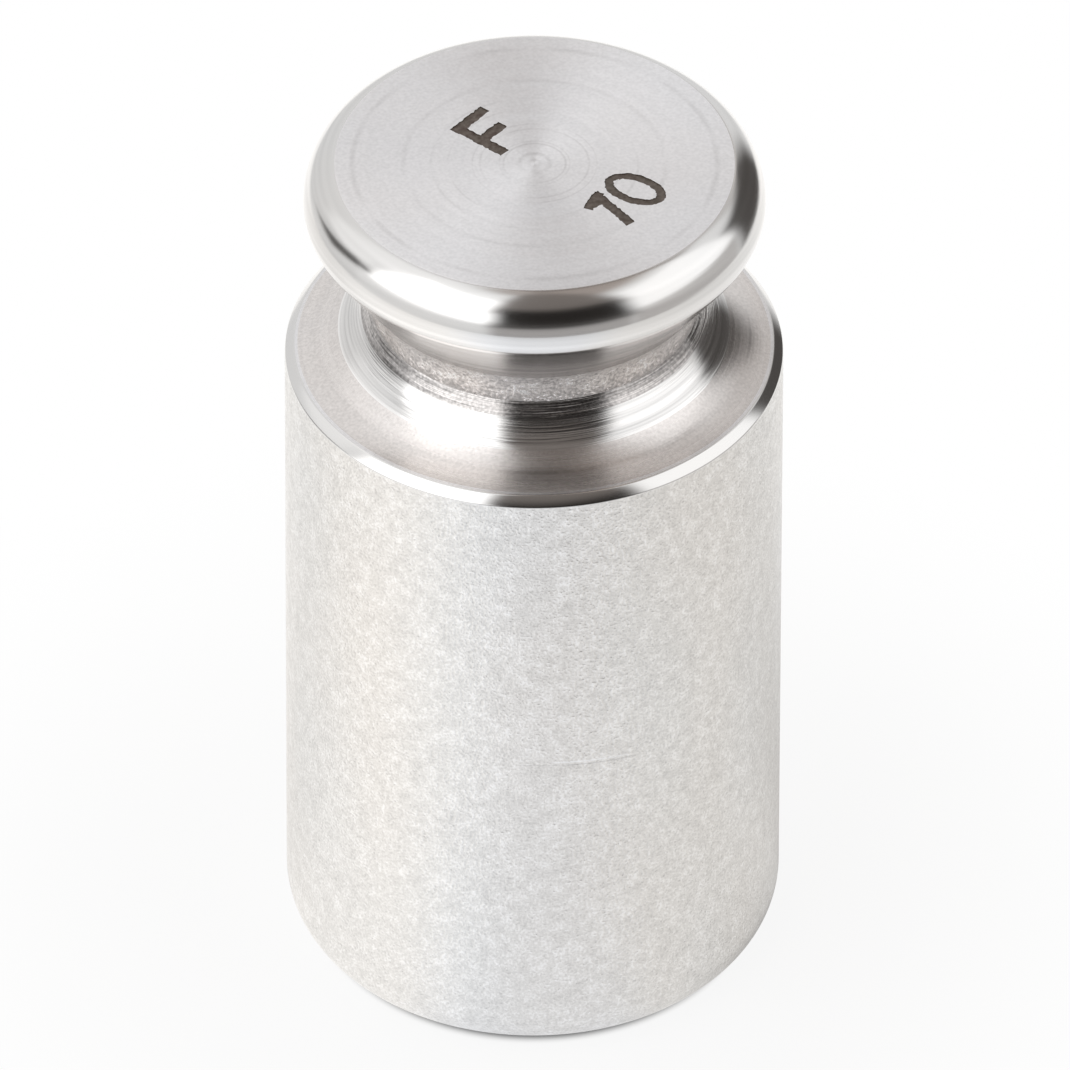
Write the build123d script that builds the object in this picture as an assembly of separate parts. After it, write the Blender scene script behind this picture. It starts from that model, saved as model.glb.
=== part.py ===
"""A 10 g knob weight for a laboratory balance, turned from one piece of stainless steel.

The foot stands on Z = 0 and the axis of the turning is the Z axis. All sizes are in millimetres.
"""
from math import acos, atan2, cos, hypot, radians, sin
from build123d import *
import os

# Driving dimensions, from the foot up
BODY_DIAMETER = 9.80
BODY_HEIGHT = 14.38           # foot to shoulder
FOOT_EDGE_RADIUS = 1.15       # rounded edge round the foot
SHOULDER_CHAMFER = 0.17       # broken edge round the shoulder, at 45 degrees

NECK_DIAMETER = 6.48          # at the waist, where the neck is narrowest
NECK_HEIGHT = 1.16            # shoulder to waist
NECK_FOOT_RADIUS = 2.20       # hollow that rises from the shoulder's edge to the waist
NECK_CROWN_RADIUS = 1.40      # hollow that opens from the waist to the underside of the knob

KNOB_DIAMETER = 9.06
KNOB_HEIGHT = 3.608           # shoulder to the knob's widest place
KNOB_LOWER_RADIUS = 0.55      # rim below its widest place
KNOB_UPPER_RADIUS = 1.00      # rim above its widest place
KNOB_FACE_SLOPE = 23.6        # slope of the rim, in degrees, where the flat face cuts it


def weight_section():
    """The half section, from the axis round the outside and back to the axis."""
    body_radius = BODY_DIAMETER / 2
    neck_radius = NECK_DIAMETER / 2
    knob_radius = KNOB_DIAMETER / 2
    waist_z = BODY_HEIGHT + NECK_HEIGHT
    widest_z = BODY_HEIGHT + KNOB_HEIGHT

    # The knob's underside is a cone, tangent to the crown hollow below it and to the rim's lower
    # arc above it. Its lean from the axis is the bearing from one arc's centre to the other,
    # less the angle at which their common tangent crosses that line.
    crown_centre_r = neck_radius + NECK_CROWN_RADIUS
    lower_centre_r = knob_radius - KNOB_LOWER_RADIUS
    across = crown_centre_r - lower_centre_r
    rise = widest_z - waist_z
    lean = atan2(rise, across) - acos((NECK_CROWN_RADIUS + KNOB_LOWER_RADIUS) / hypot(rise, across))

    # The upper arc starts upright at the widest place and ends at the flat face.
    slope = radians(KNOB_FACE_SLOPE)
    face_radius = knob_radius - KNOB_UPPER_RADIUS * (1 - sin(slope))
    face_z = widest_z + KNOB_UPPER_RADIUS * cos(slope)

    foot_edge = (body_radius - FOOT_EDGE_RADIUS, 0)
    side_foot = (body_radius, FOOT_EDGE_RADIUS)
    side_top = (body_radius, BODY_HEIGHT - SHOULDER_CHAMFER)
    shoulder_edge = (body_radius - SHOULDER_CHAMFER, BODY_HEIGHT)
    waist = (neck_radius, waist_z)
    cone_foot = (crown_centre_r - NECK_CROWN_RADIUS * cos(lean), waist_z + NECK_CROWN_RADIUS * sin(lean))
    cone_top = (lower_centre_r + KNOB_LOWER_RADIUS * cos(lean), widest_z - KNOB_LOWER_RADIUS * sin(lean))
    rim_widest = (knob_radius, widest_z)
    face_edge = (face_radius, face_z)

    # An arc with a positive radius bends to the left on its way, a negative one to the right.
    with BuildSketch(Plane.XZ) as section:
        with BuildLine():
            Line((0, 0), foot_edge)
            RadiusArc(foot_edge, side_foot, -FOOT_EDGE_RADIUS)
            Line(side_foot, side_top)
            Line(side_top, shoulder_edge)
            RadiusArc(shoulder_edge, waist, NECK_FOOT_RADIUS)
            RadiusArc(waist, cone_foot, NECK_CROWN_RADIUS)
            Line(cone_foot, cone_top)
            RadiusArc(cone_top, rim_widest, -KNOB_LOWER_RADIUS)
            RadiusArc(rim_widest, face_edge, -KNOB_UPPER_RADIUS)
            Polyline(face_edge, (0, face_z), (0, 0))
        make_face()
    return section.sketch


def knob_weight():
    """The whole weight: body, neck and knob in one solid."""
    return revolve(weight_section(), axis=Axis.Z)


os.makedirs("parts", exist_ok=True)
export_step(knob_weight(), "parts/knob_weight.step")
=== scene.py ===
"""Looks of the 10 g knob weight: a turned stainless steel body, laser-marked on its top face.

All sizes are written in millimetres and turned into metres by mm().
"""
from math import acos, atan2, cos, hypot, pi, radians, sin, sqrt

import bpy
from mathutils import Matrix, Vector


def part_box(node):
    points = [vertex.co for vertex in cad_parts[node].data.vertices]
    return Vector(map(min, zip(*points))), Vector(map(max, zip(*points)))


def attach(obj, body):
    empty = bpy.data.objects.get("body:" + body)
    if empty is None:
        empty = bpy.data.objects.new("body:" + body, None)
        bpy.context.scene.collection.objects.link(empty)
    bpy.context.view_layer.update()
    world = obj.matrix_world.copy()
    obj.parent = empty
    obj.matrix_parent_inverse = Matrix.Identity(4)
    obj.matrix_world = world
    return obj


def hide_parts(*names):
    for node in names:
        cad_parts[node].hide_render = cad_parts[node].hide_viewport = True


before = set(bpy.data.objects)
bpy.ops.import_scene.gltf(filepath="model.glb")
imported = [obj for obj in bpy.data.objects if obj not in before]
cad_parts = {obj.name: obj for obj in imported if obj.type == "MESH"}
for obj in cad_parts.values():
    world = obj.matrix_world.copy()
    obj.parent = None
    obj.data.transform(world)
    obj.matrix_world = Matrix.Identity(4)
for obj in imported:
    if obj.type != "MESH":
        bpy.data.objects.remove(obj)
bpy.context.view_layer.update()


def mm(*values):
    """Millimetres to metres: one value as a number, several as a vector."""
    if len(values) == 1:
        return values[0] * 0.001
    return Vector(values) * 0.001


# ---------------------------------------------------------------------------
# Sizes of the weight, in millimetres

low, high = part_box("knob_weight")
BODY_RADIUS = (high.x - low.x) / 2 * 1000
HEIGHT = (high.z - low.z) * 1000

SHOULDER_HEIGHT = 14.38
FOOT_EDGE_RADIUS = 1.15
SHOULDER_CHAMFER = 0.17
WAIST_RADIUS = 3.24
WAIST_HEIGHT = SHOULDER_HEIGHT + 1.16
FOOT_HOLLOW_RADIUS = 2.20       # from the shoulder's edge up to the waist
CROWN_HOLLOW_RADIUS = 1.40      # from the waist up to the cone under the knob
KNOB_RADIUS = 4.53
RIM_LOWER_RADIUS = 0.55
RIM_UPPER_RADIUS = 1.00
FACE_SLOPE = radians(23.6)      # slope of the rim where the flat face cuts it
EDGE_BREAK = 0.025              # what a polishing cloth takes off a turned corner

TURN_STEPS = 288                # facets round the axis
ARC_STEP = radians(4.5)         # facets along an arc of the outline
ARC_REACH = 0.08                # and about the greatest length of one

SHOULDER_RISE = 0.42            # how far up the foot hollow the even finish of the shoulder reaches
ROUGH_FALL = 0.30               # how far down from the waist the foot hollow is torn rough
TORN_RISE = 0.30                # and how far up from the waist
TORN_RAGGEDNESS = 0.70          # how far that edge may wander up and down, all in all

MARK_DEPTH = 0.02
MARK_RAGGEDNESS = 0.017         # how far the laser's edge wanders
MARK_EDGE_STEP = 0.040          # about the length of one facet along a straight stroke


# ---------------------------------------------------------------------------
# Helpers for work in edit mode

def select_only(piece):
    bpy.ops.object.select_all(action="DESELECT")
    piece.select_set(True)
    bpy.context.view_layer.objects.active = piece


def edit(piece):
    select_only(piece)
    bpy.ops.object.mode_set(mode="EDIT")


def leave_edit():
    bpy.ops.object.mode_set(mode="OBJECT")


def select_vertices(piece, wanted):
    """Selects the vertices for which wanted(place) is true, and leaves the piece in edit mode."""
    bpy.ops.mesh.select_mode(type="VERT")
    bpy.ops.mesh.select_all(action="DESELECT")
    leave_edit()
    for vertex in piece.data.vertices:
        vertex.select = wanted(vertex.co)
    bpy.ops.object.mode_set(mode="EDIT")


def select_faces(piece, wanted):
    """Selects the faces for which wanted(centre, normal) is true, and leaves the piece in edit mode."""
    bpy.ops.mesh.select_mode(type="FACE")
    bpy.ops.mesh.select_all(action="DESELECT")
    leave_edit()
    for face in piece.data.polygons:
        face.select = wanted(face.center, face.normal)
    bpy.ops.object.mode_set(mode="EDIT")


# ---------------------------------------------------------------------------
# The turned body

class Outline:
    """A half outline in the plane y = 0, drawn one run or arc after another by a single vertex."""

    def __init__(self, name, radius, height):
        bpy.ops.object.select_all(action="DESELECT")
        bpy.ops.mesh.primitive_plane_add(size=mm(1), location=mm(radius, 0, height))
        self.piece = bpy.context.object
        self.piece.name = name
        self.piece.data.name = name
        bpy.ops.object.transform_apply(location=True, rotation=False, scale=False)
        bpy.ops.object.mode_set(mode="EDIT")
        bpy.ops.mesh.select_mode(type="VERT")
        bpy.ops.mesh.select_all(action="SELECT")
        bpy.ops.mesh.merge(type="CENTER")
        self.pen = mm(radius, 0, height)

    def run_to(self, radius, height):
        target = mm(radius, 0, height)
        bpy.ops.mesh.extrude_region_move(TRANSFORM_OT_translate={"value": target - self.pen})
        self.pen = target

    def arc_about(self, radius, height, angle):
        """An arc about a centre. A positive angle turns from +X towards +Z."""
        centre = mm(radius, 0, height)
        reach = abs(angle) * (self.pen - centre).length
        steps = max(2, round(abs(angle) / ARC_STEP), round(reach / mm(ARC_REACH)))
        bpy.ops.mesh.spin(steps=steps, angle=angle, center=centre, axis=(0, 1, 0))
        self.pen = centre + Matrix.Rotation(angle, 3, (0, -1, 0)) @ (self.pen - centre)

    def turn(self):
        """Turns the outline once round the Z axis and closes the seam and the poles."""
        bpy.ops.mesh.select_all(action="SELECT")
        bpy.ops.mesh.spin(steps=TURN_STEPS, angle=2 * pi, center=(0, 0, 0), axis=(0, 0, 1))
        bpy.ops.mesh.select_all(action="SELECT")
        bpy.ops.mesh.remove_doubles(threshold=mm(0.0015))
        bpy.ops.mesh.normals_make_consistent(inside=False)
        leave_edit()
        return self.piece


def underside_lean():
    """How far the cone under the knob leans from the axis. It touches the hollow below and the rim above."""
    across = WAIST_RADIUS + CROWN_HOLLOW_RADIUS - (KNOB_RADIUS - RIM_LOWER_RADIUS)
    rise = HEIGHT - RIM_UPPER_RADIUS * cos(FACE_SLOPE) - WAIST_HEIGHT
    return atan2(rise, across) - acos((CROWN_HOLLOW_RADIUS + RIM_LOWER_RADIUS) / hypot(rise, across))


def foot_hollow():
    """The centre of the foot hollow, and where it starts and ends, as angles from +X towards +Z."""
    shoulder_edge = Vector((BODY_RADIUS - SHOULDER_CHAMFER, SHOULDER_HEIGHT))
    waist = Vector((WAIST_RADIUS, WAIST_HEIGHT))
    chord = waist - shoulder_edge
    outwards = Vector((chord.y, -chord.x)).normalized()
    distance = sqrt(FOOT_HOLLOW_RADIUS ** 2 - (chord.length / 2) ** 2)
    centre = (shoulder_edge + waist) / 2 + outwards * distance
    start = atan2(shoulder_edge.y - centre.y, shoulder_edge.x - centre.x)
    end = atan2(waist.y - centre.y, waist.x - centre.x)
    return centre, start, end


def turned_body():
    """The whole weight as one turned solid, from the middle of the foot to the middle of the top face."""
    foot_radius = BODY_RADIUS - FOOT_EDGE_RADIUS
    hollow_centre, hollow_start, hollow_end = foot_hollow()
    crown_centre = WAIST_RADIUS + CROWN_HOLLOW_RADIUS
    lean = underside_lean()
    lower_centre = KNOB_RADIUS - RIM_LOWER_RADIUS
    upper_centre = KNOB_RADIUS - RIM_UPPER_RADIUS
    rim_height = HEIGHT - RIM_UPPER_RADIUS * cos(FACE_SLOPE)
    foot_rings = (0.8, 2.0, 3.2)                    # radii at which the flat foot and face are divided
    face_rings = (3.4, 2.9, 2.3, 1.6, 0.9, 0.35)

    outline = Outline("knob_weight_body", 0, 0)
    for radius in foot_rings:
        outline.run_to(radius, 0)
    outline.run_to(foot_radius, 0)
    outline.arc_about(foot_radius, FOOT_EDGE_RADIUS, pi / 2)
    outline.run_to(BODY_RADIUS, SHOULDER_HEIGHT - SHOULDER_CHAMFER)
    outline.run_to(BODY_RADIUS - SHOULDER_CHAMFER, SHOULDER_HEIGHT)
    outline.arc_about(hollow_centre.x, hollow_centre.y, hollow_end - hollow_start)
    outline.arc_about(crown_centre, WAIST_HEIGHT, -lean)
    outline.run_to(lower_centre + RIM_LOWER_RADIUS * cos(lean), rim_height - RIM_LOWER_RADIUS * sin(lean))
    outline.arc_about(lower_centre, rim_height, lean)
    outline.arc_about(upper_centre, rim_height, pi / 2 - FACE_SLOPE)
    for radius in face_rings:
        outline.run_to(radius, HEIGHT)
    outline.run_to(0, HEIGHT)
    break_corners(outline.piece)
    return outline.turn()


def break_corners(piece):
    """Rounds the three corners that the tool left: both sides of the chamfer, and the edge of the face."""
    chamfer_foot = mm(BODY_RADIUS, 0, SHOULDER_HEIGHT - SHOULDER_CHAMFER)
    chamfer_top = mm(BODY_RADIUS - SHOULDER_CHAMFER, 0, SHOULDER_HEIGHT)
    face_edge = mm(KNOB_RADIUS - RIM_UPPER_RADIUS * (1 - sin(FACE_SLOPE)), 0, HEIGHT)
    corners = (chamfer_foot, chamfer_top, face_edge)
    near = mm(0.003)
    select_vertices(piece, lambda place: any((place - corner).length < near for corner in corners))
    bpy.ops.mesh.bevel(offset=mm(EDGE_BREAK), segments=4, affect="VERTICES", clamp_overlap=True)


# ---------------------------------------------------------------------------
# The laser marks: cutters that sink each stroke into the top face

def flat_disc(radius, vertices=24):
    """A flat round disc at the origin, in edit mode."""
    bpy.ops.object.select_all(action="DESELECT")
    bpy.ops.mesh.primitive_circle_add(vertices=vertices, radius=mm(radius), fill_type="NGON")
    disc = bpy.context.object
    bpy.ops.object.mode_set(mode="EDIT")
    return disc


def sink(piece, seed):
    """Makes the flat outline ragged, then gives it the depth of a mark on both sides of z = 0."""
    bpy.ops.mesh.select_all(action="SELECT")
    bpy.ops.transform.vertex_random(offset=mm(MARK_RAGGEDNESS), uniform=1.0, normal=0.0, seed=seed)
    bpy.ops.transform.resize(value=(1, 1, 0), center_override=(0, 0, 0))
    bpy.ops.transform.translate(value=mm(0, 0, -MARK_DEPTH))
    bpy.ops.mesh.extrude_region_move(TRANSFORM_OT_translate={"value": mm(0, 0, 2 * MARK_DEPTH)})
    bpy.ops.mesh.select_all(action="SELECT")
    bpy.ops.mesh.normals_make_consistent(inside=False)
    leave_edit()
    return piece


def stroke(start, end, width, seed):
    """A cutter for one straight stroke with square ends, from start to end on the top face."""
    bar = flat_disc(width / sqrt(2), vertices=4)
    bpy.ops.transform.rotate(value=pi / 4, orient_axis="Z", center_override=(0, 0, 0))
    run = Vector(end) - Vector(start)
    select_vertices(bar, lambda place: place.x > 0)
    bpy.ops.transform.translate(value=mm(run.length, 0, 0))
    cuts = max(1, round(run.length / MARK_EDGE_STEP) - 1)
    bpy.ops.mesh.select_mode(type="EDGE")
    bpy.ops.mesh.select_all(action="DESELECT")
    leave_edit()
    for edge in bar.data.edges:
        ends = [bar.data.vertices[index].co for index in edge.vertices]
        is_long_edge = abs(ends[0].x - ends[1].x) > mm(run.length) * 0.9
        edge.select = is_long_edge
    bpy.ops.object.mode_set(mode="EDIT")
    bpy.ops.mesh.subdivide(number_cuts=cuts)
    sink(bar, seed)
    place_on_face(bar, start, atan2(run.y, run.x))
    return bar


def oval(centre, half_height, half_width, upright, width, seed):
    """A cutter for an oval stroke. upright is the direction of its long axis."""
    ring = flat_disc(half_height + width / 2, vertices=72)
    bpy.ops.mesh.select_all(action="SELECT")
    squeeze = (half_width + width / 2) / (half_height + width / 2)
    bpy.ops.transform.resize(value=(1, squeeze, 1), center_override=(0, 0, 0))
    bpy.ops.mesh.select_mode(type="FACE")
    bpy.ops.mesh.inset(thickness=mm(width))
    bpy.ops.mesh.delete(type="ONLY_FACE")
    sink(ring, seed)
    place_on_face(ring, centre, upright)
    return ring


def place_on_face(piece, place, turn):
    """Turns a cutter about its own origin and lays it on the top face at a place given in millimetres."""
    piece.matrix_world = Matrix.Translation(mm(place[0], place[1], HEIGHT)) @ Matrix.Rotation(turn, 4, "Z")
    select_only(piece)
    bpy.ops.object.transform_apply(location=True, rotation=True, scale=True)


def letter_f(foot, upright, height, width, seed):
    """A plain capital F. foot is the lower end of its stem and upright the direction that it points up."""
    up = Vector((cos(upright), sin(upright)))
    right = Vector((sin(upright), -cos(upright)))
    foot = Vector(foot)
    top = foot + up * height
    middle = foot + up * height * 0.46
    return [
        stroke(foot, top, width, seed),
        stroke(top, top + right * height * 0.65, width, seed + 1),
        stroke(middle, middle + right * height * 0.52, width, seed + 2),
    ]


def figure_one(foot, upright, height, width, seed):
    """A plain figure 1 with a short flag."""
    up = Vector((cos(upright), sin(upright)))
    right = Vector((sin(upright), -cos(upright)))
    foot = Vector(foot)
    top = foot + up * height
    flag_tip = top - right * height * 0.32 - up * height * 0.17
    web = top - up * height * 0.22
    return [
        stroke(foot, top, width, seed),
        stroke(top, flag_tip, width, seed + 1),
        stroke(flag_tip, web, width * 0.8, seed + 2),
    ]


def cut_marks(body):
    """Sinks the class letter and the nominal value into the top face."""
    cutters = letter_f(foot=(-0.67, 0.40), upright=radians(141), height=1.05, width=0.230, seed=11)
    cutters += figure_one(foot=(1.82, -1.77), upright=radians(127.5), height=0.97, width=0.205, seed=21)
    cutters.append(oval(centre=(1.966, -0.794), half_height=0.565, half_width=0.335,
                        upright=radians(149.5), width=0.180, seed=31))
    for cutter in cutters:
        select_only(body)
        bpy.ops.object.modifier_add(type="BOOLEAN")
        cut = body.modifiers[-1]
        cut.operation = "DIFFERENCE"
        cut.solver = "EXACT"
        cut.object = cutter
        bpy.ops.object.modifier_apply(modifier=cut.name)
        bpy.data.objects.remove(cutter)


# ---------------------------------------------------------------------------
# Shader building

def new_node(tree, kind, settings=None, inputs=None):
    """Adds a node, sets its properties and links or fills its inputs, by name or by number."""
    node = tree.nodes.new(kind)
    for name, value in (settings or {}).items():
        setattr(node, name, value)
    for key, value in (inputs or {}).items():
        if isinstance(value, bpy.types.NodeSocket):
            tree.links.new(value, node.inputs[key])
        else:
            node.inputs[key].default_value = value
    return node


def math(tree, operation, first, second=0.0, third=0.0, clamp=False):
    settings = {"operation": operation, "use_clamp": clamp}
    return new_node(tree, "ShaderNodeMath", settings, {0: first, 1: second, 2: third}).outputs[0]


def vector_math(tree, operation, first, second=(0, 0, 0)):
    node = new_node(tree, "ShaderNodeVectorMath", {"operation": operation}, {0: first, 1: second})
    return node.outputs["Value"] if operation in ("LENGTH", "DOT_PRODUCT") else node.outputs["Vector"]


def remap(tree, value, from_low, from_high, to_low=0.0, to_high=1.0, smooth=False):
    kind = "SMOOTHSTEP" if smooth else "LINEAR"
    return new_node(tree, "ShaderNodeMapRange", {"interpolation_type": kind}, {
        "Value": value,
        "From Min": from_low,
        "From Max": from_high,
        "To Min": to_low,
        "To Max": to_high,
    }).outputs["Result"]


def mix_colour(tree, share, first, second, blend="MIX"):
    node = new_node(tree, "ShaderNodeMix", {"data_type": "RGBA", "blend_type": blend})
    for key, value in (("Factor_Float", share), ("A_Color", first), ("B_Color", second)):
        socket = next(s for s in node.inputs if s.identifier == key)
        if isinstance(value, bpy.types.NodeSocket):
            tree.links.new(value, socket)
        else:
            socket.default_value = value
    return next(s for s in node.outputs if s.identifier == "Result_Color")


def grey(value):
    return (value, value, value, 1.0)


def new_group(name, inputs, outputs):
    """A shader node group. inputs are (name, type, value), outputs are (name, type)."""
    tree = bpy.data.node_groups.new(name, "ShaderNodeTree")
    for label, kind, value in inputs:
        socket = tree.interface.new_socket(label, in_out="INPUT", socket_type=kind)
        if value is not None:
            socket.default_value = value
    for label, kind in outputs:
        tree.interface.new_socket(label, in_out="OUTPUT", socket_type=kind)
    entry = tree.nodes.new("NodeGroupInput")
    exit_node = tree.nodes.new("NodeGroupOutput")
    return tree, entry, exit_node


def use_group(tree, group, **inputs):
    node = tree.nodes.new("ShaderNodeGroup")
    node.node_tree = group
    for name, value in inputs.items():
        socket = node.inputs[name.replace("_", " ")]
        if isinstance(value, bpy.types.NodeSocket):
            tree.links.new(value, socket)
        else:
            socket.default_value = value
    return node


FLOAT, VECTOR, COLOUR = "NodeSocketFloat", "NodeSocketVector", "NodeSocketColor"
STEEL = (0.74, 0.73, 0.72, 1.0)
FACED_STEEL = (0.845, 0.832, 0.840, 1.0)
WARM_STEEL = (0.76, 0.725, 0.705, 1.0)
TORN_STEEL = (0.50, 0.48, 0.47, 1.0)
SHADED_STEEL = (0.62, 0.59, 0.57, 1.0)
BRIGHT_STEEL = (0.85, 0.81, 0.79, 1.0)
SIDE_STEEL = (0.745, 0.73, 0.71, 1.0)
# A painted glint: the pale colour laid on single flats of a tumbled skin.
PAINTED_GLINT = (0.92, 0.92, 0.93, 1.0)
RING_SHADE = (0.10, 0.085, 0.075, 1.0)
HAIRLINE_DARK = (0.30, 0.29, 0.29, 1.0)
HAIRLINE_BRIGHT = (0.93, 0.93, 0.94, 1.0)
OXIDE_RED = (0.075, 0.050, 0.040, 1.0)
OXIDE_BROWN = (0.085, 0.068, 0.052, 1.0)
OXIDE_PALE = (0.17, 0.14, 0.12, 1.0)

# Rings that the facing tool left deeper than the rest. Each row is: radius and half width in millimetres, and
# how much darker.
FACE_RINGS = [
    (0.10, 0.07, 0.14),
    (0.30, 0.08, 0.15),
    (0.61, 0.04, 0.16),
    (0.69, 0.03, 0.08),
    (1.07, 0.04, 0.12),
    (1.22, 0.03, 0.10),
    (1.70, 0.04, 0.11),
    (2.03, 0.05, 0.10),
    (2.57, 0.09, 0.08),
    (3.57, 0.10, 0.12),
]

# Hairlines on the front of the side. Each row is: height at x = 0, fall for each millimetre to the right,
# left end, right end and half width, all in millimetres, then how strongly it shows and its tone.
HAIRLINES = [
    (7.640, 0.05, 0.55, 2.10, 0.026, 0.38, HAIRLINE_DARK),
    (7.625, 0.02, -0.35, 0.66, 0.020, 0.28, HAIRLINE_DARK),
    (7.710, 0.05, 0.30, 1.95, 0.032, 0.60, HAIRLINE_BRIGHT),
]


def turning_marks_group():
    """Fine rings that a lathe tool leaves: noise that changes quickly across the cut and slowly along it.

    Slope says how the radius changes along the cut: 0 on a wall, 1 on a flat and where the radius grows with
    height, -1 where it shrinks with height.
    """
    tree, entry, out = new_group(
        "turning_marks",
        [
            ("Place", VECTOR, None),
            ("Rings per mm", FLOAT, 12.0),
            ("Slope", FLOAT, 1.0),
            ("Waver", FLOAT, 0.6),
        ],
        [("Height", FLOAT), ("Streak", FLOAT)],
    )
    pin = entry.outputs
    height = new_node(tree, "ShaderNodeSeparateXYZ", inputs={0: pin["Place"]}).outputs[2]
    flat = vector_math(tree, "MULTIPLY", pin["Place"], (1, 1, 0))
    radius = vector_math(tree, "LENGTH", flat)
    bearing = new_node(tree, "ShaderNodeVectorMath", {"operation": "SCALE"},
                       {0: vector_math(tree, "NORMALIZE", flat), "Scale": pin["Waver"]}).outputs["Vector"]
    across = math(tree, "MULTIPLY_ADD", radius, pin["Slope"], height)
    cells = math(tree, "MULTIPLY", across, math(tree, "MULTIPLY", pin["Rings per mm"], 1000))
    upwards = new_node(tree, "ShaderNodeCombineXYZ", inputs={2: cells}).outputs[0]
    where = vector_math(tree, "ADD", bearing, upwards)
    fine = new_node(tree, "ShaderNodeTexNoise",
                    inputs={"Vector": where, "Scale": 1.0, "Detail": 1.0, "Roughness": 0.6})
    broad = new_node(tree, "ShaderNodeTexNoise",
                     inputs={"Vector": where, "Scale": 0.23, "Detail": 2.0, "Roughness": 0.8})
    tree.links.new(fine.outputs[0], out.inputs["Height"])
    tree.links.new(broad.outputs[0], out.inputs["Streak"])
    return tree


def deep_rings_group():
    """Single rings of the facing tool, each fading in and out round the face, as a darkening from 0 to 1."""
    tree, entry, out = new_group("deep_rings", [("Place", VECTOR, None)], [("Mask", FLOAT)])
    radius = vector_math(tree, "LENGTH", vector_math(tree, "MULTIPLY", entry.outputs["Place"], (1, 1, 0)))
    total = 0.0
    for ring_radius, half_width, darkness in FACE_RINGS:
        off = math(tree, "ABSOLUTE", math(tree, "SUBTRACT", radius, mm(ring_radius)))
        ring = remap(tree, off, 0.0, mm(half_width), darkness, 0.0, smooth=True)
        total = math(tree, "ADD", ring, total)
    fading = new_node(tree, "ShaderNodeTexNoise",
                      inputs={"Vector": entry.outputs["Place"], "Scale": 900.0, "Detail": 0.0})
    mask = math(tree, "MULTIPLY", total, remap(tree, fading.outputs[0], 0.35, 0.60, 0.1, 1.0))
    tree.links.new(mask, out.inputs["Mask"])
    return tree


def blasted_grain_group():
    """The skin of a tumbled surface: fine dimples, and a speckle of small flats that are smoother than the
    rest. A finish may also paint them bright as glints.
    """
    tree, entry, out = new_group(
        "blasted_grain",
        [("Place", VECTOR, None), ("Grain per mm", FLOAT, 12.0)],
        [("Height", FLOAT), ("Speckle", FLOAT)],
    )
    place = entry.outputs["Place"]
    per_metre = math(tree, "MULTIPLY", entry.outputs["Grain per mm"], 1000)
    fine = new_node(tree, "ShaderNodeTexNoise",
                    inputs={"Vector": place, "Scale": per_metre, "Detail": 1.0, "Roughness": 0.6})
    broad_scale = math(tree, "MULTIPLY", per_metre, 0.21)
    patches = new_node(tree, "ShaderNodeTexNoise",
                       inputs={"Vector": place, "Scale": broad_scale, "Detail": 1.0})
    fine_share = math(tree, "MULTIPLY", fine.outputs[0], 0.65)
    speckle = math(tree, "MULTIPLY_ADD", patches.outputs[0], 0.35, fine_share)
    tree.links.new(fine.outputs[0], out.inputs["Height"])
    tree.links.new(speckle, out.inputs["Speckle"])
    return tree


def steel_colour_group():
    """Bare stainless steel: its own grey, drifting a little warm and cool, darkened or lightened by a mask.

    Speckle is a second mask, and Grain its contrast.
    """
    tree, entry, out = new_group(
        "steel_colour",
        [
            ("Place", VECTOR, None),
            ("Mask", FLOAT, 0.5),
            ("Contrast", FLOAT, 0.1),
            ("Drift", FLOAT, 0.02),
            ("Speckle", FLOAT, 0.5),
            ("Grain", FLOAT, 0.0),
            ("Steel", COLOUR, STEEL),
        ],
        [("Color", COLOUR)],
    )
    pin = entry.outputs

    def about_zero(value):
        return math(tree, "SUBTRACT", value, 0.5)

    upright_bands = vector_math(tree, "MULTIPLY", pin["Place"], (1, 1, 0.3))
    drift = new_node(tree, "ShaderNodeTexNoise",
                     inputs={"Vector": upright_bands, "Scale": 480.0, "Detail": 0.0})
    warm = math(tree, "MULTIPLY", about_zero(drift.outputs[0]), pin["Drift"])
    shade = math(tree, "MULTIPLY_ADD", about_zero(pin["Mask"]), pin["Contrast"], 1.0)
    shade = math(tree, "MULTIPLY_ADD", about_zero(pin["Speckle"]), pin["Grain"], shade)
    tint = new_node(tree, "ShaderNodeCombineColor", inputs={
        0: math(tree, "ADD", shade, warm),
        1: shade,
        2: math(tree, "SUBTRACT", shade, warm),
    })
    colour = mix_colour(tree, 1.0, pin["Steel"], tint.outputs[0], "MULTIPLY")
    tree.links.new(colour, out.inputs["Color"])
    return tree


TURNING_MARKS = turning_marks_group()
DEEP_RINGS = deep_rings_group()
BLASTED_GRAIN = blasted_grain_group()
STEEL_COLOUR = steel_colour_group()


def new_material(name):
    material = bpy.data.materials.new(name)
    material.use_nodes = True
    tree = material.node_tree
    shader = tree.nodes["Principled BSDF"]
    place = new_node(tree, "ShaderNodeTexCoord").outputs["Object"]
    return material, tree, shader, place


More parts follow.
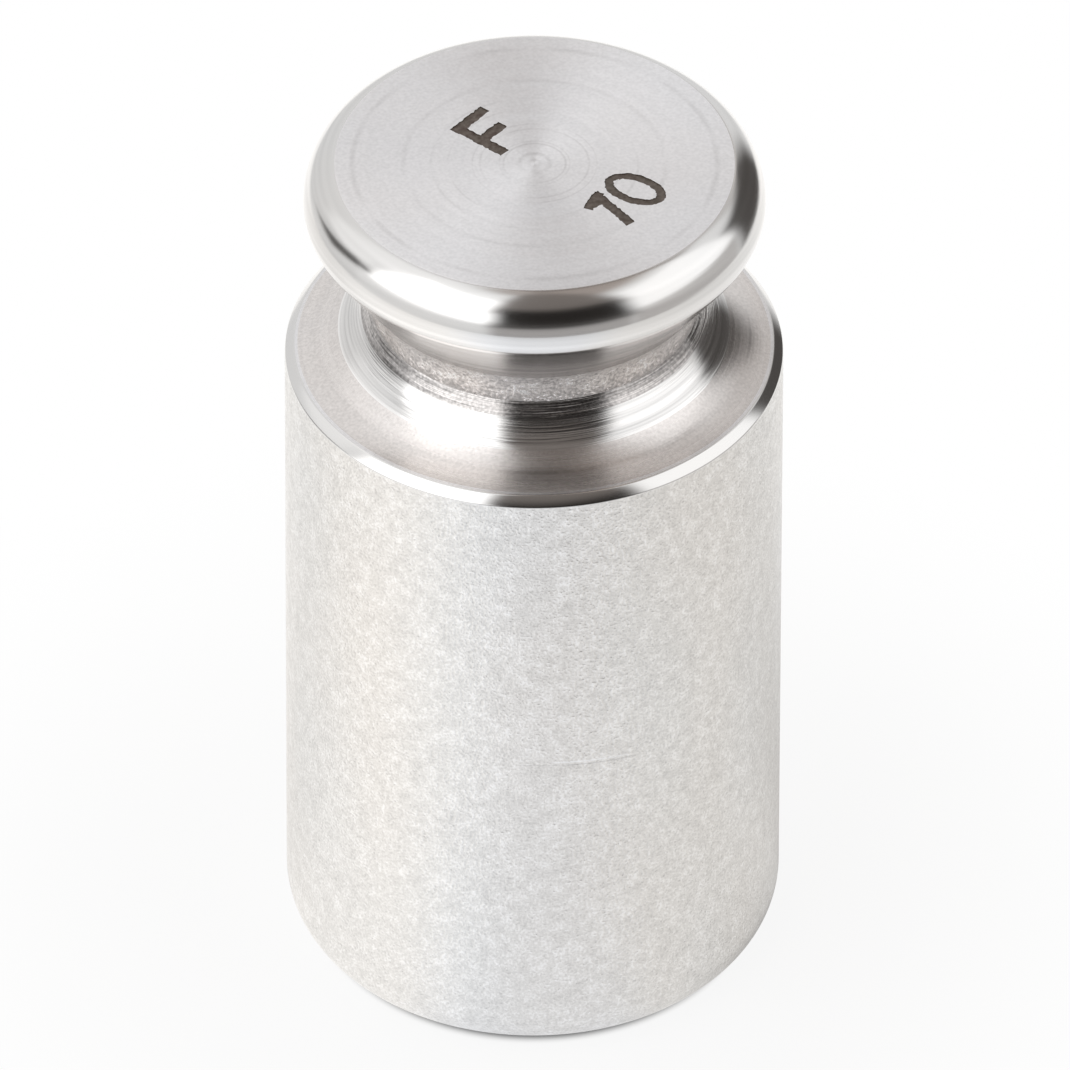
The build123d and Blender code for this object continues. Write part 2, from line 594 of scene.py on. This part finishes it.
def turned_steel(name, rings, depth, roughness, spread, anisotropy, contrast=0.1, waver=0.6, slope=1,
                 grain=0.0, steel=STEEL, deep_rings=False):
    """Steel as a lathe leaves it.

    rings is in rings per millimetre, depth their height in millimetres, and spread how far the roughness goes
    up and down. waver and slope are those of the turning marks.
    """
    material, tree, shader, place = new_material(name)
    marks = use_group(tree, TURNING_MARKS, Place=place, Rings_per_mm=rings, Waver=waver, Slope=slope)
    steel_colour = use_group(tree, STEEL_COLOUR, Place=place, Mask=marks.outputs["Streak"], Contrast=contrast,
                             Grain=grain, Steel=steel)
    if grain:
        speckle = new_node(tree, "ShaderNodeTexNoise",
                           inputs={"Vector": place, "Scale": 17000.0, "Detail": 0.0})
        tree.links.new(speckle.outputs[0], steel_colour.inputs["Speckle"])
    colour = steel_colour.outputs["Color"]
    if deep_rings:
        ring_mask = use_group(tree, DEEP_RINGS, Place=place).outputs["Mask"]
        colour = mix_colour(tree, ring_mask, colour, RING_SHADE)
    rough = remap(tree, marks.outputs["Streak"], 0.3, 0.7, roughness - spread, roughness + spread)
    bump = new_node(tree, "ShaderNodeBump", inputs={
        "Height": marks.outputs["Height"], "Distance": mm(depth), "Strength": 1.0})
    tangent = new_node(tree, "ShaderNodeTangent", {"direction_type": "RADIAL", "axis": "Z"})
    tree.links.new(colour, shader.inputs["Base Color"])
    tree.links.new(rough, shader.inputs["Roughness"])
    tree.links.new(bump.outputs[0], shader.inputs["Normal"])
    tree.links.new(tangent.outputs[0], shader.inputs["Tangent"])
    shader.inputs["Metallic"].default_value = 1.0
    shader.inputs["Anisotropic"].default_value = anisotropy
    shader.inputs["Anisotropic Rotation"].default_value = 0.25
    return material


def torn_foot(tree, place, speckle, colour):
    """Steel that is torn and dark at the waist, and clean above it. The edge between them is ragged."""
    height = new_node(tree, "ShaderNodeSeparateXYZ", inputs={0: place}).outputs[2]
    wander = math(tree, "SUBTRACT", speckle, 0.5)
    ragged = math(tree, "MULTIPLY_ADD", wander, mm(TORN_RAGGEDNESS), height)
    clean = remap(tree, ragged, mm(WAIST_HEIGHT - 0.05), mm(WAIST_HEIGHT + TORN_RISE), smooth=True)
    return mix_colour(tree, clean, TORN_STEEL, colour)


def scratched(tree, place, colour):
    """Lays the hairlines over a colour, on the front of the weight only."""
    axes = new_node(tree, "ShaderNodeSeparateXYZ", inputs={0: place}).outputs
    in_front = math(tree, "LESS_THAN", axes[1], 0.0)
    for height, fall, left, right, half_width, strength, line_tone in HAIRLINES:
        line = math(tree, "MULTIPLY_ADD", axes[0], fall, axes[2])
        off = math(tree, "ABSOLUTE", math(tree, "SUBTRACT", line, mm(height)))
        across = remap(tree, off, 0.0, mm(half_width), strength, 0.0, smooth=True)
        middle = mm((left + right) / 2)
        reach = mm((right - left) / 2)
        from_middle = math(tree, "ABSOLUTE", math(tree, "SUBTRACT", axes[0], middle))
        along = remap(tree, from_middle, reach * 0.7, reach, 1.0, 0.0, smooth=True)
        share = math(tree, "MULTIPLY", math(tree, "MULTIPLY", across, along), in_front)
        colour = mix_colour(tree, share, colour, line_tone)
    return colour


def mottled_steel(name, grain, depth, roughness, spread, contrast, drift=0.04, steel=STEEL, painted_glints=0.0,
                  torn=False, hairlines=False):
    """Steel with a fine pitted skin.

    grain is in dimples per millimetre, depth their depth in millimetres, and spread how far the roughness
    goes up and down. flecks is how strongly single bright flats show, as a glint painted into the colour.
    """
    material, tree, shader, place = new_material(name)
    skin = use_group(tree, BLASTED_GRAIN, Place=place, Grain_per_mm=grain)
    speckle = skin.outputs["Speckle"]
    colour = use_group(tree, STEEL_COLOUR, Place=place, Mask=speckle, Contrast=contrast, Drift=drift,
                       Steel=steel).outputs["Color"]
    rough = remap(tree, speckle, 0.3, 0.7, roughness + spread, roughness - spread)
    bump = new_node(tree, "ShaderNodeBump", inputs={
        "Height": skin.outputs["Height"], "Distance": mm(depth), "Strength": 1.0})
    # Painted glints: the brightest flats of the speckle are painted pale in the colour, on top of being
    # smoother.
    if painted_glints:
        bright = remap(tree, speckle, 0.52, 0.68, 0.0, painted_glints, smooth=True)
        colour = mix_colour(tree, bright, colour, PAINTED_GLINT)
    if torn:
        colour = torn_foot(tree, place, speckle, colour)
    if hairlines:
        colour = scratched(tree, place, colour)
    tree.links.new(colour, shader.inputs["Base Color"])
    tree.links.new(rough, shader.inputs["Roughness"])
    tree.links.new(bump.outputs[0], shader.inputs["Normal"])
    shader.inputs["Metallic"].default_value = 1.0
    return material


def burnt_mark(name):
    """The brown oxide that the laser leaves in a stroke."""
    material, tree, shader, place = new_material(name)
    noise = new_node(tree, "ShaderNodeTexNoise", inputs={"Vector": place, "Scale": 9000.0, "Detail": 3.0})
    patches = new_node(tree, "ShaderNodeTexNoise", inputs={"Vector": place, "Scale": 2200.0, "Detail": 1.0})
    dark = mix_colour(tree, remap(tree, patches.outputs[0], 0.35, 0.65), OXIDE_RED, OXIDE_BROWN)
    colour = mix_colour(tree, remap(tree, noise.outputs[0], 0.35, 0.75), dark, OXIDE_PALE)
    bump = new_node(tree, "ShaderNodeBump", inputs={"Height": noise.outputs[0], "Distance": mm(0.004)})
    tree.links.new(colour, shader.inputs["Base Color"])
    tree.links.new(bump.outputs[0], shader.inputs["Normal"])
    shader.inputs["Roughness"].default_value = 0.6
    shader.inputs["Metallic"].default_value = 0.2
    return material


# ---------------------------------------------------------------------------
# Finishes, zone by zone

def finish_zones(body):
    """Gives each zone of the turned body its own finish, chosen by height and radius in millimetres."""
    chamfer_foot = SHOULDER_HEIGHT - SHOULDER_CHAMFER - EDGE_BREAK
    chamfer_top = SHOULDER_HEIGHT + EDGE_BREAK / 2
    hollow_top = SHOULDER_HEIGHT + SHOULDER_RISE
    rough_foot = WAIST_HEIGHT - ROUGH_FALL
    crown_top = WAIST_HEIGHT + CROWN_HOLLOW_RADIUS * sin(underside_lean())
    knob_underside = HEIGHT - RIM_UPPER_RADIUS * cos(FACE_SLOPE) - RIM_LOWER_RADIUS * sin(underside_lean())
    mark_floor = HEIGHT - 2 * MARK_DEPTH
    near = 0.0008

    def radius_of(place):
        return hypot(place.x, place.y) * 1000

    def between(place, bottom, top):
        return bottom + near < place.z * 1000 < top - near

    def band(bottom, top):
        return lambda place, normal: between(place, bottom, top)

    def everywhere(place, normal):
        return True

    def is_mark(place, normal):
        return radius_of(place) < 3.0 and between(place, mark_floor, HEIGHT)

    def is_rim(place, normal):
        return between(place, knob_underside, HEIGHT) and not is_mark(place, normal)

    def is_foot(place, normal):
        return normal.z < -0.97 and place.z < mm(0.05)

    # Later zones take faces from earlier ones.
    zones = [
        (turned_steel("faced_top", rings=11, depth=0.0012, roughness=0.34, spread=0.05, anisotropy=0.77,
                      contrast=0.22, waver=0.5, grain=0.17, steel=FACED_STEEL, deep_rings=True),
         everywhere),
        (turned_steel("polished_rim", rings=14, depth=0.0010, roughness=0.15, spread=0.03, anisotropy=0.6,
                      contrast=0.6, slope=0),
         is_rim),
        (turned_steel("knob_underside", rings=16, depth=0.0025, roughness=0.22, spread=0.05, anisotropy=0.6,
                      contrast=0.6, waver=1.5, steel=SHADED_STEEL),
         band(crown_top, knob_underside)),
        (mottled_steel("waist", grain=14, depth=0.014, roughness=0.33, spread=0.12, contrast=2.2, drift=0.12,
                       steel=BRIGHT_STEEL, torn=True),
         band(WAIST_HEIGHT, crown_top)),
        (turned_steel("torn_hollow", rings=22, depth=0.0110, roughness=0.19, spread=0.06, anisotropy=0.6,
                      contrast=2.0, waver=2.5, slope=-1, grain=0.9, steel=TORN_STEEL),
         band(rough_foot, WAIST_HEIGHT)),
        (turned_steel("foot_hollow", rings=20, depth=0.0055, roughness=0.17, spread=0.05, anisotropy=0.7,
                      contrast=1.3, waver=2.0, slope=-1),
         band(hollow_top, rough_foot)),
        (turned_steel("turned_shoulder", rings=13, depth=0.0015, roughness=0.25, spread=0.05, anisotropy=0.6,
                      contrast=0.30, waver=0.8, slope=-1, grain=0.25, steel=WARM_STEEL),
         band(chamfer_top, hollow_top)),
        (turned_steel("broken_edge", rings=12, depth=0.0006, roughness=0.14, spread=0.03, anisotropy=0.5,
                      contrast=0.10),
         band(chamfer_foot, chamfer_top)),
        (mottled_steel("satin_side", grain=18, depth=0.0240, roughness=0.34, spread=0.05, contrast=0.70,
                       drift=0.045, steel=SIDE_STEEL, painted_glints=0.35, hairlines=True),
         band(-1, chamfer_foot)),
        (turned_steel("faced_foot", rings=12, depth=0.0012, roughness=0.32, spread=0.05, anisotropy=0.5),
         is_foot),
        (burnt_mark("burnt_mark"), is_mark),
    ]
    edit(body)
    for index, (material, wanted) in enumerate(zones):
        leave_edit()
        body.data.materials.append(material)
        bpy.ops.object.mode_set(mode="EDIT")
        select_faces(body, wanted)
        body.active_material_index = index
        bpy.ops.object.material_slot_assign()
    bpy.ops.mesh.select_all(action="DESELECT")
    leave_edit()


def smooth_body(body):
    """Smooth shading that stays flat on the flats and keeps the real corners."""
    select_only(body)
    bpy.ops.object.shade_smooth_by_angle(angle=radians(14))
    bpy.ops.object.modifier_add(type="WEIGHTED_NORMAL")
    weighted = body.modifiers[-1]
    weighted.keep_sharp = True
    bpy.ops.object.modifier_apply(modifier=weighted.name)


def make_weight():
    body = turned_body()
    cut_marks(body)
    finish_zones(body)
    smooth_body(body)
    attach(body, "root")
    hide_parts("knob_weight")
    return body


# ---------------------------------------------------------------------------
# Studio: floor, sky and camera

# Distances on the sheet are in millimetres from the middle of the weight.
FLOOR_REACH = 64                # the white sheet ends here
FLOOR_FADE = (6, 16)            # between these distances it turns as white as the background
FLOOR_GLOW = 1.04               # how bright the sheet looks to the steel
BACK_LIGHT = 0.08               # it is a little brighter behind
FLOOR_UNEVENNESS = 0.06         # this much brighter in front and behind, and as much darker at the sides
LAMP_SPILL = 0.22               # a patch in front of the big lamp is brighter still
SHADOW_DEPTH = 0.45             # the ground in the shadow of the weight is darker
SHADOW_REACH = (6, 19)          # and the shadow fades between these distances
CONTACT_DEPTH = 0.78            # right beside the foot it is darker once more
CONTACT_REACH = (4.5, 6.2)
CONTACT_SHADOW_RING = (4.12, 4.45)         # painted contact shadow: a thin dark ring painted where the rounded foot meets the sheet

# Bearings on the sheet: 0 is to the right of the weight, and a quarter turn is towards the front.
FRONT = radians(90)
BACK_LEFT = radians(250)
SPILL_BEARING = radians(147)
SHADOW_BEARING = radians(-52)
CONTACT_BEARING = radians(-42)

# The soft edges of those patches, as cosines of the angle from the patch's bearing: where it starts, and
# where it is full.
FRONT_EDGE = (0.70, 0.97)
SPILL_EDGE = (0.62, 0.98)
SHADOW_EDGE = (0.65, 0.98)
CONTACT_EDGE = (-0.1, 0.8)

COOL_LIGHT = (0.965, 0.980, 1.010, 1.0)
WARM_LIGHT = (1.010, 1.0, 0.985, 1.0)
SHEET_GREY = 0.88
# The paper's grey in the painted contact shadow under the foot.
CONTACT_SHADOW_GREY = 0.20

CAMERA_PLACE = (0.028, -473.404, 403.772)
CAMERA_PITCH = radians(39.793)  # below the horizon
CAMERA_ROLL = radians(0.151)
CAMERA_LENS = 1049.7            # for a sensor 36 mm wide


def towards(tree, bearing, angle):
    """The cosine of the angle between a bearing on the sheet and a given one."""
    return vector_math(tree, "DOT_PRODUCT", bearing, (cos(angle), -sin(angle), 0))


def sheet_glow(tree, bearing, distance):
    """How bright the sheet looks to the steel: unevenly lit, and darker in the shadow and beside the foot."""
    lengthways = math(tree, "POWER", math(tree, "ABSOLUTE", towards(tree, bearing, FRONT)), 2.0)
    glow = math(tree, "MULTIPLY_ADD", lengthways, 2 * FLOOR_UNEVENNESS, FLOOR_GLOW - FLOOR_UNEVENNESS)
    glow = math(tree, "MULTIPLY_ADD", towards(tree, bearing, BACK_LEFT), BACK_LIGHT, glow)
    in_spill = towards(tree, bearing, SPILL_BEARING)
    glow = math(tree, "ADD", glow, remap(tree, in_spill, *SPILL_EDGE, 0.0, LAMP_SPILL, smooth=True))
    in_shadow = towards(tree, bearing, SHADOW_BEARING)
    shadow = remap(tree, in_shadow, *SHADOW_EDGE, 0.0, SHADOW_DEPTH, smooth=True)
    near = remap(tree, distance, mm(SHADOW_REACH[0]), mm(SHADOW_REACH[1]), 1.0, 0.0)
    glow = math(tree, "SUBTRACT", glow, math(tree, "MULTIPLY", shadow, near))
    in_contact = towards(tree, bearing, CONTACT_BEARING)
    contact = remap(tree, in_contact, *CONTACT_EDGE, 0.0, CONTACT_DEPTH, smooth=True)
    beside = remap(tree, distance, mm(CONTACT_REACH[0]), mm(CONTACT_REACH[1]), 1.0, 0.0)
    return math(tree, "SUBTRACT", glow, math(tree, "MULTIPLY", contact, beside))


def white_sheet(name):
    """Matt white paper. The camera and what shines see it almost as white as the background."""
    material = bpy.data.materials.new(name)
    material.use_nodes = True
    tree = material.node_tree
    tree.nodes.clear()
    path = new_node(tree, "ShaderNodeLightPath").outputs
    camera_sees = path["Is Camera Ray"]
    place = new_node(tree, "ShaderNodeTexCoord").outputs["Object"]
    distance = vector_math(tree, "LENGTH", place)
    bearing = vector_math(tree, "NORMALIZE", place)

    reflected = sheet_glow(tree, bearing, distance)
    brightness = new_node(tree, "ShaderNodeMix", {"data_type": "FLOAT"},
                          {0: camera_sees, 2: reflected, 3: 1.0}).outputs[0]
    cool_share = remap(tree, towards(tree, bearing, FRONT), *FRONT_EDGE, smooth=True)
    cool_share = math(tree, "MULTIPLY", cool_share, math(tree, "SUBTRACT", 1.0, camera_sees))
    warm_share = math(tree, "SUBTRACT", 1.0, math(tree, "MAXIMUM", cool_share, camera_sees))
    tint = mix_colour(tree, cool_share, grey(1.0), COOL_LIGHT)
    tint = mix_colour(tree, warm_share, tint, WARM_LIGHT)
    glow = new_node(tree, "ShaderNodeEmission", inputs={"Color": tint, "Strength": brightness})

    # Painted contact shadow: the paper is painted dark in a thin ring under the foot, and there the glow
    # gives way to the paper's real shading.
    under_foot = remap(tree, distance, mm(CONTACT_SHADOW_RING[0]), mm(CONTACT_SHADOW_RING[1]), 0.05, 1.0, smooth=True)
    paper = mix_colour(tree, under_foot, grey(CONTACT_SHADOW_GREY), grey(SHEET_GREY))
    matt = new_node(tree, "ShaderNodeBsdfDiffuse", inputs={"Color": paper})
    seen = math(tree, "MAXIMUM", camera_sees, path["Is Glossy Ray"])
    seen = math(tree, "MAXIMUM", seen, path["Is Transmission Ray"])
    fade = remap(tree, distance, mm(FLOOR_FADE[0]), mm(FLOOR_FADE[1]), 0.88, 1.0, smooth=True)
    share = math(tree, "MULTIPLY", seen, math(tree, "MULTIPLY", fade, under_foot))
    mixed = new_node(tree, "ShaderNodeMixShader", inputs={0: share, 1: matt.outputs[0], 2: glow.outputs[0]})
    new_node(tree, "ShaderNodeOutputMaterial", inputs={"Surface": mixed.outputs[0]})
    return material


def make_floor():
    """A white sheet that fades into the white background. What shines sees it lit unevenly."""
    bpy.ops.object.select_all(action="DESELECT")
    bpy.ops.mesh.primitive_circle_add(vertices=96, radius=mm(FLOOR_REACH), fill_type="NGON",
                                      location=(0, 0, 0))
    floor = bpy.context.object
    floor.name = "floor"
    floor.data.materials.append(white_sheet("white_sheet"))


def sky_patch_group():
    """A soft-edged patch of the sky, between two heights and two bearings, as a mask.

    All angles are in degrees. Lean is how far the patch moves round for each degree of height.
    """
    labels = ("Bearing", "Height", "Middle", "Half width", "Bottom", "Top", "Softness", "Lean")
    tree, entry, out = new_group("sky_patch", [(label, FLOAT, 0.0) for label in labels], [("Mask", FLOAT)])
    pin = entry.outputs
    middle = math(tree, "MULTIPLY_ADD", pin["Height"], pin["Lean"], pin["Middle"])
    turn = math(tree, "WRAP", math(tree, "SUBTRACT", pin["Bearing"], middle), 180.0, -180.0)
    inside = math(tree, "SUBTRACT", pin["Half width"], math(tree, "ABSOLUTE", turn))
    inside = math(tree, "MINIMUM", inside, math(tree, "SUBTRACT", pin["Height"], pin["Bottom"]))
    inside = math(tree, "MINIMUM", inside, math(tree, "SUBTRACT", pin["Top"], pin["Height"]))
    mask = remap(tree, math(tree, "DIVIDE", inside, pin["Softness"]), -0.5, 0.5, smooth=True)
    tree.links.new(mask, out.inputs["Mask"])
    return tree


# Bearings are in degrees: 0 to the right of the weight, 90 towards the front, 180 to the left, 270 behind it.
# Each row is: label, middle bearing, half width, bottom, top, softness of the edge, lean, brightness, warmth.
# Later rows lie on top.
SKY = [
    ("zenith", 0, 181, 79, 120, 10, 0, 0.45, 0.10),
    ("ceiling_gap", -10, 100, 64, 120, 12, 0, 0.36, 0.14),
    ("right_ceiling_gap", -60, 34, 54, 120, 12, 0, 0.24, 0.14),
    ("left_back_glow", 196, 16, 15, 60, 10, 0, 1.05, 0),
    ("left_back_flag", 201, 9, -4, 18, 8, -1.4, 0.10, 0.05),
    ("right_back_wall", -60, 20, 22, 62, 14, 0, 0.62, 0.03),
    ("right_back_flag", -41, 19, -26, 28, 11, 0, 0.08, 0.08),
    ("right_skirting", 12, 31, -20, 12, 5, 0, 0.52, 0.03),
    ("left_skirting", 143, 36, -20, 12, 5, 0, 0.90, 0),
    ("left_softbox_top", 155, 50, 38, 75, 10, 0, 1.10, 0),
    ("right_softbox", 16, 36, 11, 56, 8, 0, 1.27, 0),
    ("left_softbox", 138, 35, 9, 62, 6, 0, 1.85, 0),
    ("camera_side_skirting", 77, 33, -20, 12, 9, 0, 0.45, 0.03),
    ("camera_side_top", 76, 36, 36, 86, 13, 0, 0.18, 0.12),
    ("camera_side", 76, 33, 4, 47, 13, 0, 0.020, 0.12),
]


def tone(brightness, warmth=0.0):
    """A grey of a brightness, with more red and less blue the warmer it is."""
    return (brightness * (1 + warmth), brightness, brightness * (1 - 0.6 * warmth), 1.0)


def make_sky():
    """A pale studio, painted by direction: two softboxes in front, a dark gap where the camera stands."""
    world = bpy.data.worlds.new("studio")
    bpy.context.scene.world = world
    world.use_nodes = True
    tree = world.node_tree
    tree.nodes.clear()
    group = sky_patch_group()
    direction = new_node(tree, "ShaderNodeTexCoord").outputs["Generated"]
    axes = new_node(tree, "ShaderNodeSeparateXYZ", inputs={0: direction}).outputs
    bearing = math(tree, "DEGREES", math(tree, "ARCTAN2", math(tree, "MULTIPLY", axes[1], -1.0), axes[0]))
    height = math(tree, "DEGREES", math(tree, "ARCSINE", axes[2]))
    colour = mix_colour(tree, remap(tree, height, -20, 60), grey(0.80), grey(0.90))
    for label, middle, half_width, bottom, top, softness, lean, brightness, warmth in SKY:
        patch = use_group(tree, group, Bearing=bearing, Height=height, Middle=middle, Half_width=half_width,
                          Bottom=bottom, Top=top, Softness=softness, Lean=lean)
        patch.label = label
        colour = mix_colour(tree, patch.outputs["Mask"], colour, tone(brightness, warmth))
    studio = new_node(tree, "ShaderNodeBackground", inputs={"Color": colour, "Strength": 1.0})
    white = new_node(tree, "ShaderNodeBackground", inputs={"Color": grey(1.0), "Strength": 1.0})
    seen = new_node(tree, "ShaderNodeLightPath").outputs["Is Camera Ray"]
    mixed = new_node(tree, "ShaderNodeMixShader", inputs={0: seen, 1: studio.outputs[0], 2: white.outputs[0]})
    new_node(tree, "ShaderNodeOutputWorld", inputs={"Surface": mixed.outputs[0]})


def make_camera():
    data = bpy.data.cameras.new("camera")
    data.sensor_width = 36
    data.lens = CAMERA_LENS
    camera = bpy.data.objects.new("camera", data)
    bpy.context.scene.collection.objects.link(camera)
    tilt = Matrix.Rotation(pi / 2 - CAMERA_PITCH, 4, "X") @ Matrix.Rotation(CAMERA_ROLL, 4, "Z")
    camera.matrix_world = Matrix.Translation(mm(*CAMERA_PLACE)) @ tilt
    bpy.context.scene.camera = camera


make_weight()
make_floor()
make_sky()
make_camera()
bpy.context.scene.view_settings.view_transform = "Standard"
